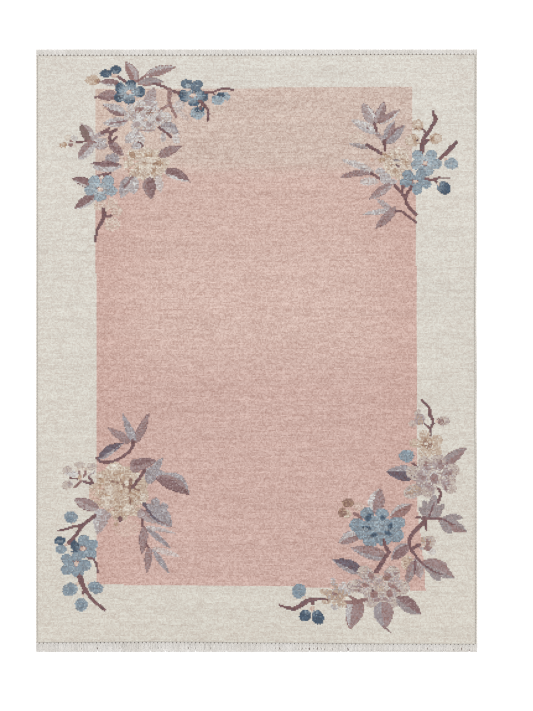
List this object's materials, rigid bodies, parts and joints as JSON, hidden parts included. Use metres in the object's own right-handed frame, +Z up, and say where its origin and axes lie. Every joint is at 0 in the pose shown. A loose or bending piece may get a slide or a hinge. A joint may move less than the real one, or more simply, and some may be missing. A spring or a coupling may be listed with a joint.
{
  "type": "tibetan silk rug",
  "caption": "Flat hand-knotted pile rug with a plain field, a wide pale border, flower sprays at the corners, overcast sides and knotted end fringes.",
  "frame": {"origin": "middle of the underside of the rug's box, on the floor", "axes": "+X to the rug's right side, +Y along its length to the top end in the picture, +Z up out of the pile"},
  "size_m": [1.803, 2.4666, 0.011],
  "materials": {
    "pile": "short cut pile of wool with silk highlights, soft sheen",
    "selvedge": "overcast woollen yarn, matt",
    "fringe": "undyed cotton warp yarn, matt"
  },
  "bodies": {
    "root": {"rug": "pile", "selvedge_left": "selvedge", "selvedge_right": "selvedge", "fringe_top": "fringe", "fringe_bottom": "fringe"}
  },
  "joints": []
}
